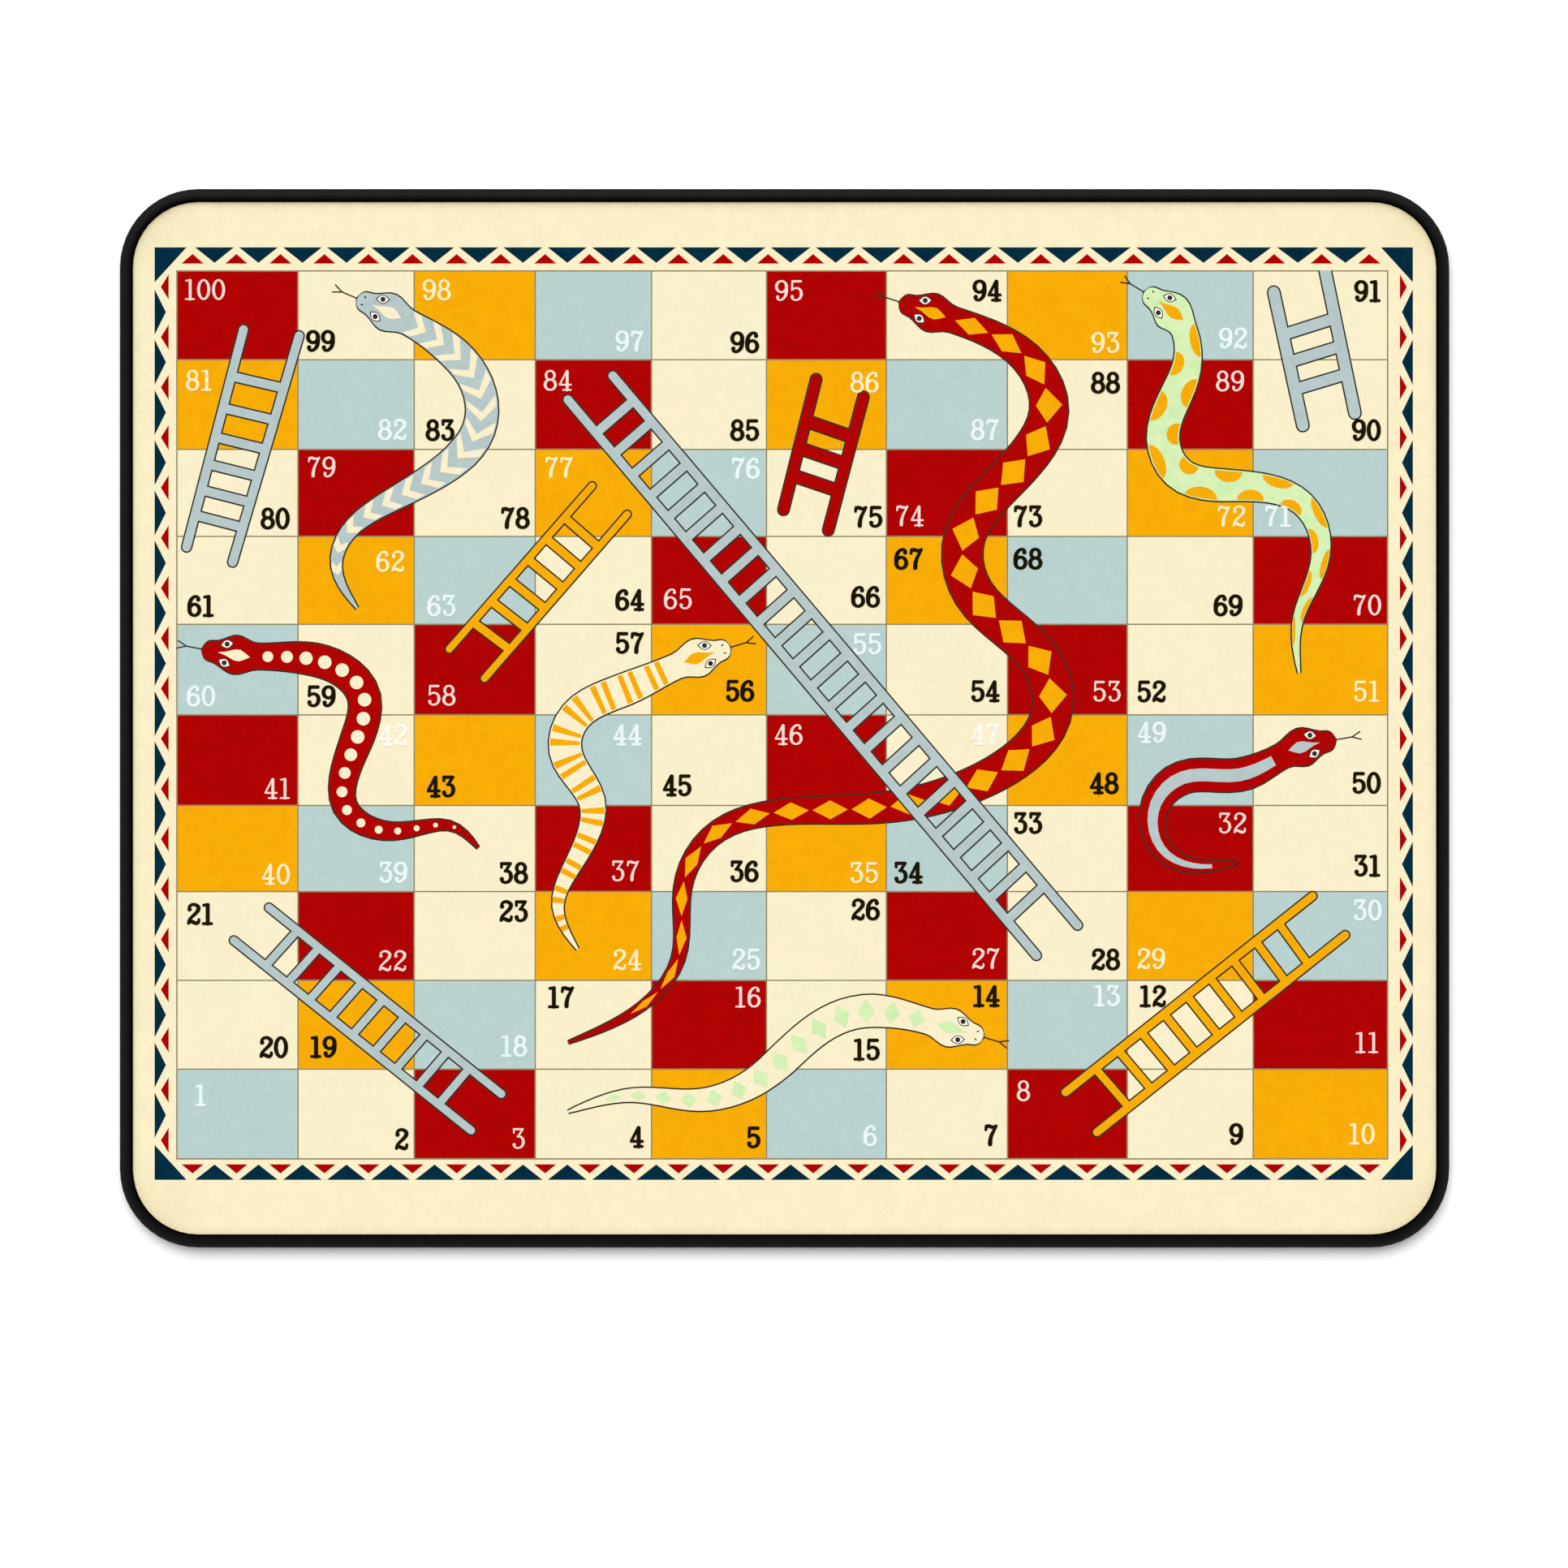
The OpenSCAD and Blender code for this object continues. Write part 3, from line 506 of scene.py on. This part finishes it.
def digit_shape(name, heavier):
    """The closed lines of a digit, with its edge moved out by heavier."""
    xs = np.arange(FIELD_LOW, FIELD_RIGHT, FIELD_STEP)
    ys = np.arange(FIELD_LOW, FIELD_TOP, FIELD_STEP)
    x, y = np.meshgrid(xs, ys, indexing="ij")
    field = stroke_field(DIGITS[name], x, y) - heavier
    return [thinned(loop, OUTLINE_SLACK) for loop in outlines(field, FIELD_STEP, xs[0], ys[0])]


# How much heavier than drawn the numbers are printed in each ink
HEAVIER = {
    "black": 0.022,
    "white_on_red": -0.010,
    "white_on_amber": -0.004,
    "white_on_blue": 0.006,
    "white_on_cream": 0.006,
}
SHAPES = {
    heavier: {digit: digit_shape(digit, heavier) for digit in DIGITS}
    for heavier in sorted(set(HEAVIER.values()))
}


def number_loops(ink, entries):
    """The closed lines of numbers in one ink, from the (text, x, y) of their lower left corners."""
    loops = []
    for text, x, y in entries:
        for digit in text:
            shape = SHAPES[HEAVIER[ink]][digit]
            loops += [[(x + u * DIGIT_H, y + v * DIGIT_H) for u, v in loop] for loop in shape]
            x += (DIGIT_W[digit] + DIGIT_GAP) * DIGIT_H
    return loops


def printed(name, loops, bottom, top, ink):
    """One thin printed film: its closed lines, its heights, its ink and the part's slot for it."""
    curve = bpy.data.curves.new(name, "CURVE")
    curve.dimensions, curve.fill_mode = "2D", "BOTH"
    for loop in loops:
        spline = curve.splines.new("POLY")
        spline.points.add(len(loop) - 1)
        for point, (x, y) in zip(spline.points, loop):
            point.co = (x, y, 0, 1)
        spline.use_cyclic_u = True
    curve.extrude = (top - bottom) / 2
    drawn = bpy.data.objects.new(name + "_drawn", curve)
    scene.collection.objects.link(drawn)
    bpy.context.view_layer.update()
    mesh = bpy.data.meshes.new_from_object(drawn.evaluated_get(bpy.context.evaluated_depsgraph_get()))
    bpy.data.objects.remove(drawn)
    mesh.transform(Matrix.Translation((0, 0, (top + bottom) / 2)))
    mesh.name = name
    piece = bpy.data.objects.new(name, mesh)
    scene.collection.objects.link(piece)
    mesh.materials.clear()
    mesh.materials.append(INKS[ink])
    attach(piece, "root")


# The corner of its square that each number stands in, and b for black or w for white, row by row from
# the top
CORNERS = [
    "TLw BLb TLw BRw BRb TLw TRb BRw BRw TRb",
    "TLw BRw BLb TLw BRb TRw BRw TRb TRw BRb",
    "BRb TLw BRb TLw TRw BRb BLw BLb BRw BLw",
    "BLb TRw BLw BRb BLw BRb TLb TLb BRb BRw",
    "BLw BLb BLw TRb BRb TRw BRb BRw BLb BRw",
    "BRw TRw BLb TRw BLb TLw TRw BRb TLw BRb",
    "BRw BRw BRb BRw BRb BRw BLb TLb TRw BRb",
    "TLb BRw TRb BRw BRw TRb BRw BRb BLw TRw",
    "BRb BLb BRw TLb TRw BRb TRb TRw TLb BRw",
    "TLw BRb BRw BRb BRb BRw BRb TLw BRb BRw",
]
SIDE_GAP, END_GAP = 2.3 * MM, 2.7 * MM
# How far, in millimetres, each number stands to the right of that corner's usual place and above it,
# row by row
SHIFTS = [
    [(-0.1, 0.3), (0.2, -0.25), (0.2, 0.2), (0, -0.35), (0, -0.65),
     (0.2, 0), (0.4, 0), (0, -0.75), (0.5, 0.5), (0.2, -0.15)],
    [(0.4, -0.3), (0, 0), (1.25, -0.1), (0.2, -0.3), (0, -0.1),
     (0, -0.85), (-0.15, 0), (0, -1), (-0.4, -0.5), (0.15, -0.1)],
    [(-0.3, -0.5), (0.5, 0.6), (0.5, -0.35), (0.6, 0.5), (0.25, 0.2),
     (1.05, 0), (0.45, 0.3), (-0.4, 0.15), (0, 0.15), (1.2, 0.2)],
    [(0.95, -0.35), (-0.65, -1.6), (1.65, -0.3), (0, 1.45), (1.4, 1.75),
     (0.3, 2.4), (0.15, -0.85), (-0.4, -0.8), (-1, -0.2), (0.4, -0.1)],
    [(0.7, -0.25), (0.4, -0.3), (1.65, 0), (0, 0.3), (-1.45, 1.35),
     (0.8, 0), (-0.15, 1.25), (0.4, 1.2), (0.7, 1.15), (-0.1, 1.2)],
    [(0, -0.8), (0.25, -0.25), (1.5, -0.2), (-0.7, -0.1), (1.15, 0.15),
     (0.1, 0), (0, 0), (-0.4, 0.8), (0.8, 0.6), (0.15, 0.9)],
    [(-0.1, -0.7), (0.25, -0.15), (0, -0.3), (-1.3, 0.3), (-0.15, 0.2),
     (-0.15, -0.2), (0, -0.2), (-0.4, 0.6), (0.25, 0.6), (0.1, 1.9)],
    [(0.7, -0.85), (0, 0), (0, 0), (-0.8, 0.3), (0.4, 0.4),
     (0.25, 0.5), (0, 0.65), (0, 0.4), (0.6, 0.6), (0.5, 0.3)],
    [(-0.8, 0.7), (1.35, 0.8), (-0.2, 1), (1.5, 0.85), (0.6, 0.9),
     (0.25, 0), (-0.15, 1.2), (0.1, 1.25), (1.4, 1.15), (-0.3, 2.1)],
    [(3.1, -2), (0.5, 0), (-0.75, 0.2), (-0.15, 0.7), (0.4, 0.55),
     (-0.55, 1.05), (-0.65, 1.2), (0.5, -0.6), (-0.8, 1.55), (-1.55, 1.6)],
]
# The colours of the top row's first squares. They repeat, and each row below starts two further on.
SQUARE_INKS = ["red", "cream", "amber", "blue", "cream"]


def number_places():
    """For each ink, the (text, x, y) of its numbers' lower left corners."""
    places = {ink: [] for ink in HEAVIER}
    columns, rows = len(COLUMN_SHARES) - 1, len(ROW_SHARES) - 1
    for row_down, codes in enumerate(CORNERS):
        row = rows - 1 - row_down
        for column, code in enumerate(codes.split()):
            # The numbers run to the right in the lowest row, and change their way with each row
            number = columns * row + (column + 1 if row % 2 == 0 else columns - column)
            text = str(number)
            wide = (sum(DIGIT_W[digit] + DIGIT_GAP for digit in text) - DIGIT_GAP) * DIGIT_H
            left = GRID_X0 + COLUMN_SHARES[column] * GRID_L
            right = GRID_X0 + COLUMN_SHARES[column + 1] * GRID_L
            low = GRID_Y0 + ROW_SHARES[row] * GRID_W
            high = GRID_Y0 + ROW_SHARES[row + 1] * GRID_W
            x = left + SIDE_GAP if code[1] == "L" else right - SIDE_GAP - wide
            y = low + END_GAP if code[0] == "B" else high - END_GAP - DIGIT_H
            dx, dy = SHIFTS[row_down][column]
            under = SQUARE_INKS[(column + 2 * row_down) % len(SQUARE_INKS)]
            ink = "black" if code[2] == "b" else "white_on_" + under
            places[ink].append((text, x + dx * MM, y + dy * MM))
    return places


number_low, number_high = PRINT_Z + INK_T, PRINT_Z + 3 * INK_T + HAIR
for ink, entries in number_places().items():
    printed("numbers_" + ink, number_loops(ink, entries), number_low, number_high, ink)


# The snakes' heads: eyes, nostrils and a mark on the crown, placed from the part's own pupils

# Corners of one pupil lie closer together than PUPIL_W. Within HEAD_REACH of the pupils the neck reaches
# further than the snout, which tells behind from ahead.
PUPIL_W, HEAD_REACH = 2 * MM, 12 * MM


def spots(name):
    """The corners of a node's mesh, seen from above."""
    obj = nodes[name]
    return np.array([(obj.matrix_world @ v.co)[:2] for v in obj.data.vertices])


def heads():
    """For each snake, its name, the middle between its pupils, and the ways ahead and to its left."""
    groups = []
    for spot in spots("snake_eyes"):
        near = [g for g in groups if np.hypot(*(g[0] - spot)) < PUPIL_W]
        if near:
            near[0].append(spot)
        else:
            groups.append([spot])
    pupils = [(np.min(g, axis=0) + np.max(g, axis=0)) / 2 for g in groups]
    found = []
    for name in (n for n in nodes if n.startswith("snake_from_")):
        outline = spots(name)
        # By the fourth nearest corner of its outline, so that a lone one near another's pupil doesn't count
        beside = sorted(pupils, key=lambda p: np.sort(np.hypot(*(outline - p).T))[3])[:2]
        middle = (beside[0] + beside[1]) / 2
        way = (beside[1] - beside[0]) / np.hypot(*(beside[1] - beside[0]))
        ahead = np.array([-way[1], way[0]])
        close = (outline - middle)[np.hypot(*(outline - middle).T) < HEAD_REACH] @ ahead
        if close.max() > -close.min():
            ahead = -ahead
        found.append((name, middle, ahead, np.array([-ahead[1], ahead[0]])))
    return found


# Places and sizes on a head in millimetres, ahead of the pupils and to the left
PUPIL_OUT, EYE_TURN = 2.85, math.radians(20)
EYE_WHITE, EYE_LINE = (1.75, 1.12), (2.2, 1.36)
NOSTRIL_AHEAD, NOSTRIL_OUT, NOSTRIL_L, NOSTRIL_W, NOSTRIL_SLANT = 5.1, 1.25, 0.42, 0.24, 0.14
CROWN_MARK = [(2.4, 0), (0.2, 0.5), (-2.6, 1.6), (-4.2, 1.75), (-5.6, 1.1), (-7.4, 0),
              (-5.6, -1.1), (-4.2, -1.75), (-2.6, -1.6), (0.2, -0.5)]


def eye(side, long, wide, turns=12):
    """An almond round a pupil, its front end turned a little inwards."""
    loop = []
    for k in range(2 * turns):
        share = k / turns
        u = long * (1 - 2 * share) if share <= 1 else long * (2 * share - 3)
        v = wide * math.sin(math.pi * share)
        loop.append((
            u * math.cos(EYE_TURN) + v * math.sin(EYE_TURN) * side,
            side * PUPIL_OUT - u * math.sin(EYE_TURN) * side + v * math.cos(EYE_TURN),
        ))
    return loop


def nostril(side, turns=10):
    """A small slanting oval near the end of the snout."""
    loop = []
    for k in range(turns):
        a = 2 * math.pi * k / turns
        out = side * (NOSTRIL_OUT + NOSTRIL_SLANT * math.cos(a)) + NOSTRIL_W * math.sin(a)
        loop.append((NOSTRIL_AHEAD + NOSTRIL_L * math.cos(a), out))
    return loop


def draw_heads():
    """Prints the eyes, the nostrils and the crown mark of every snake."""
    whites, lines, marks = [], [], {}
    for name, middle, ahead, left in heads():
        def on_head(loop):
            return [tuple(middle + (u * ahead + v * left) * MM) for u, v in loop]

        for side in (-1, 1):
            whites.append(on_head(eye(side, *EYE_WHITE)))
            lines += [on_head(eye(side, *EYE_LINE)), whites[-1], on_head(nostril(side))]
        ink = NODE_INKS[name.replace("snake_from", "markings")]
        marks.setdefault(ink, []).append(on_head(CROWN_MARK))
    low, high = PRINT_Z + 3 * INK_T - HAIR, PRINT_Z + 3.4 * INK_T
    printed("eye_whites", whites, low, high, "white_on_cream")
    printed("eye_lines", lines, low, high, "keyline")
    for ink, loops in marks.items():
        printed("head_marks_" + ink, loops, low, high, ink)


draw_heads()


# Floor, light and camera

FLOOR_REACH, FLOOR_DROP = 6.0, 0.02 * MM
# The floor's colour where it shows, which makes it white in this light, and where it only throws light
FLOOR_SHOWN, FLOOR_LIT = 1.33, 0.7
# The world's strength where it lights, and where it shows
WORLD_LIGHT, WORLD_SHOWN = 0.40, 1.0
SUN_STRENGTH, SUN_WIDTH, SUN_WAY = 2.67, math.radians(80), Vector((0.12, -0.64, -0.75))


def background_ray(tree):
    """1 for rays that show the background, straight or in gloss or glass, and 0 for those that light."""
    path = tree.nodes.new("ShaderNodeLightPath")
    shown = path.outputs["Is Camera Ray"]
    for kind in ("Is Glossy Ray", "Is Transmission Ray"):
        either = tree.nodes.new("ShaderNodeMath")
        either.operation = "MAXIMUM"
        tree.links.new(shown, either.inputs[0])
        tree.links.new(path.outputs[kind], either.inputs[1])
        shown = either.outputs[0]
    return shown


def floor():
    """A wide floor just under the board, as white as the photograph's ground."""
    mesh = bpy.data.meshes.new("floor")
    corners = [(x * FLOOR_REACH, y * FLOOR_REACH, 0) for x, y in ((-1, -1), (1, -1), (1, 1), (-1, 1))]
    mesh.from_pydata(corners, [], [(0, 1, 2, 3)])
    obj = bpy.data.objects.new("floor", mesh)
    obj.location.z = -FLOOR_DROP
    scene.collection.objects.link(obj)
    t = Nodes("floor")
    mix = t.add("ShaderNodeMixShader")
    t.link(background_ray(t.tree), mix.inputs[0])
    for socket, level in zip(mix.inputs[1:], (FLOOR_LIT, FLOOR_SHOWN)):
        plain = t.add("ShaderNodeBsdfDiffuse")
        plain.inputs["Color"].default_value = (level, level, level, 1)
        t.link(plain.outputs[0], socket)
    t.link(mix.outputs[0], t.out.inputs["Surface"])
    mesh.materials.append(t.material)


floor()

scene.view_settings.view_transform = "Standard"
# The world lights the board softly, and is white where it is seen past the floor or in the rubber's gloss
world = bpy.data.worlds.new("studio")
scene.world = world
world.use_nodes = True
background = world.node_tree.nodes["Background"]
background.inputs["Color"].default_value = (1, 1, 1, 1)
strength = world.node_tree.nodes.new("ShaderNodeMapRange")
strength.inputs["To Min"].default_value = WORLD_LIGHT
strength.inputs["To Max"].default_value = WORLD_SHOWN
world.node_tree.links.new(background_ray(world.node_tree), strength.inputs["Value"])
world.node_tree.links.new(strength.outputs["Result"], background.inputs["Strength"])

sun = bpy.data.lights.new("softbox", "SUN")
sun.energy = SUN_STRENGTH
sun.angle = SUN_WIDTH
sun_object = bpy.data.objects.new("softbox", sun)
sun_object.rotation_mode = "QUATERNION"
sun_object.rotation_quaternion = SUN_WAY.to_track_quat("-Z", "Y")
scene.collection.objects.link(sun_object)

# The photograph looks straight down, from far off. Its frame is 471.8 mm wide between the heights of the
# print and of the crown's outer side, and its centre lies a little below the board's middle.
VIEW_W, VIEW_X, VIEW_Y, VIEW_Z = 471.76 * MM, -0.17 * MM, -19.79 * MM, 5 * MM
camera = bpy.data.cameras.new("camera")
camera.sensor_width, camera.lens = 36, 500
camera.clip_start, camera.clip_end = 0.01, 10
camera_object = bpy.data.objects.new("camera", camera)
camera_object.location = (VIEW_X, VIEW_Y, VIEW_Z + VIEW_W * camera.lens / camera.sensor_width)
scene.collection.objects.link(camera_object)
scene.camera = camera_object
